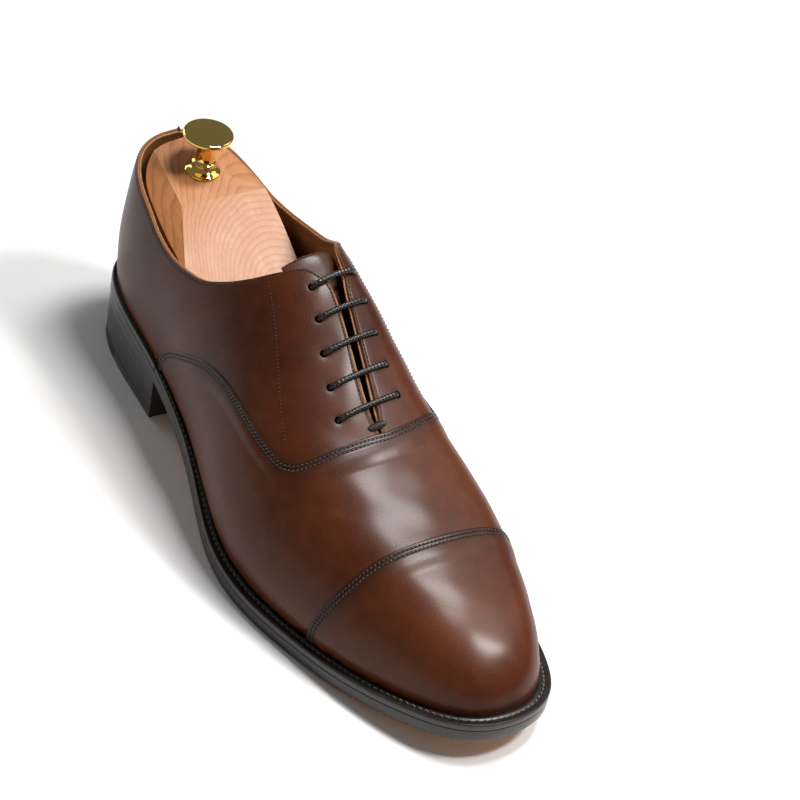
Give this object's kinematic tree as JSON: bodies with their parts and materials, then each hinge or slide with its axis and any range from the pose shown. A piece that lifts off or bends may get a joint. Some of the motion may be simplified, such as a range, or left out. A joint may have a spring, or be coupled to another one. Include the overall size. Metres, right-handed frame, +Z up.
{
  "type": "oxford shoe with shoe tree",
  "caption": "Right-foot leather cap-toe oxford on a welted leather sole, laced closed over a hinged wooden shoe tree with a metal knob.",
  "frame": {"origin": "centre of the heel's tread, on the floor", "axes": "+X along the shoe to the toe, +Y to the wearer's inner (medial) side, +Z up"},
  "size_m": [0.306, 0.1071, 0.1105],
  "materials": {
    "upper_leather": "burnished calf, polished",
    "tongue_leather": "calf, satin",
    "lining_leather": "vegetable tanned, matt",
    "stiffener_board": "leather board, matt",
    "eyelet_brass": "plain",
    "dark_thread": "waxed thread",
    "waxed_lace": "waxed round lace",
    "welt_thread_linen": "waxed linen",
    "stained_edge_leather": "black edge dressing, satin",
    "natural_leather": "natural, matt",
    "cork": "granulated cork",
    "steel": "plain",
    "heel_rubber": "matt",
    "cedar": "sanded cedar, unvarnished",
    "polished_brass": "polished"
  },
  "bodies": {
    "shoe": {"toe_cap": "upper_leather", "vamp": "upper_leather", "quarter_lateral": "upper_leather", "quarter_medial": "upper_leather", "back_strap": "upper_leather", "tongue": "tongue_leather", "vamp_lining": "lining_leather", "quarter_lining_lateral": "lining_leather", "quarter_lining_medial": "lining_leather", "heel_counter": "stiffener_board", "toe_puff": "stiffener_board", "blind_eyelets": "eyelet_brass", "throat_bar_tack": "dark_thread", "lace": "waxed_lace", "lace_tips": "waxed_lace", "cap_seam_thread": "dark_thread", "vamp_seam_thread": "dark_thread", "facing_thread_lateral": "dark_thread", "facing_thread_medial": "dark_thread", "insole": "natural_leather", "heel_sock": "lining_leather", "insole_rib": "natural_leather", "cork_filler": "cork", "shank": "steel", "welt": "stained_edge_leather", "heel_rand": "stained_edge_leather", "welt_thread": "welt_thread_linen", "outsole": "stained_edge_leather", "heel_seat_lift": "stained_edge_leather", "heel_lift_upper": "stained_edge_leather", "heel_lift_middle": "stained_edge_leather", "heel_lift_lower": "stained_edge_leather", "top_piece": "natural_leather", "heel_tip": "heel_rubber", "heel_nails": "eyelet_brass", "tree_forepart": "cedar", "tree_hinge_pin": "steel"},
    "tree_heel": {"tree_heel_block": "cedar", "tree_knob_base": "polished_brass", "tree_knob": "polished_brass", "tree_knob_screw": "steel"}
  },
  "joints": [
    {"name": "tree_hinge", "type": "hinge", "parent": "shoe", "child": "tree_heel", "pos_m": [0.068, 0, 0.043], "axis": [0, 1, 0], "range_deg": [0, 24]}
  ]
}
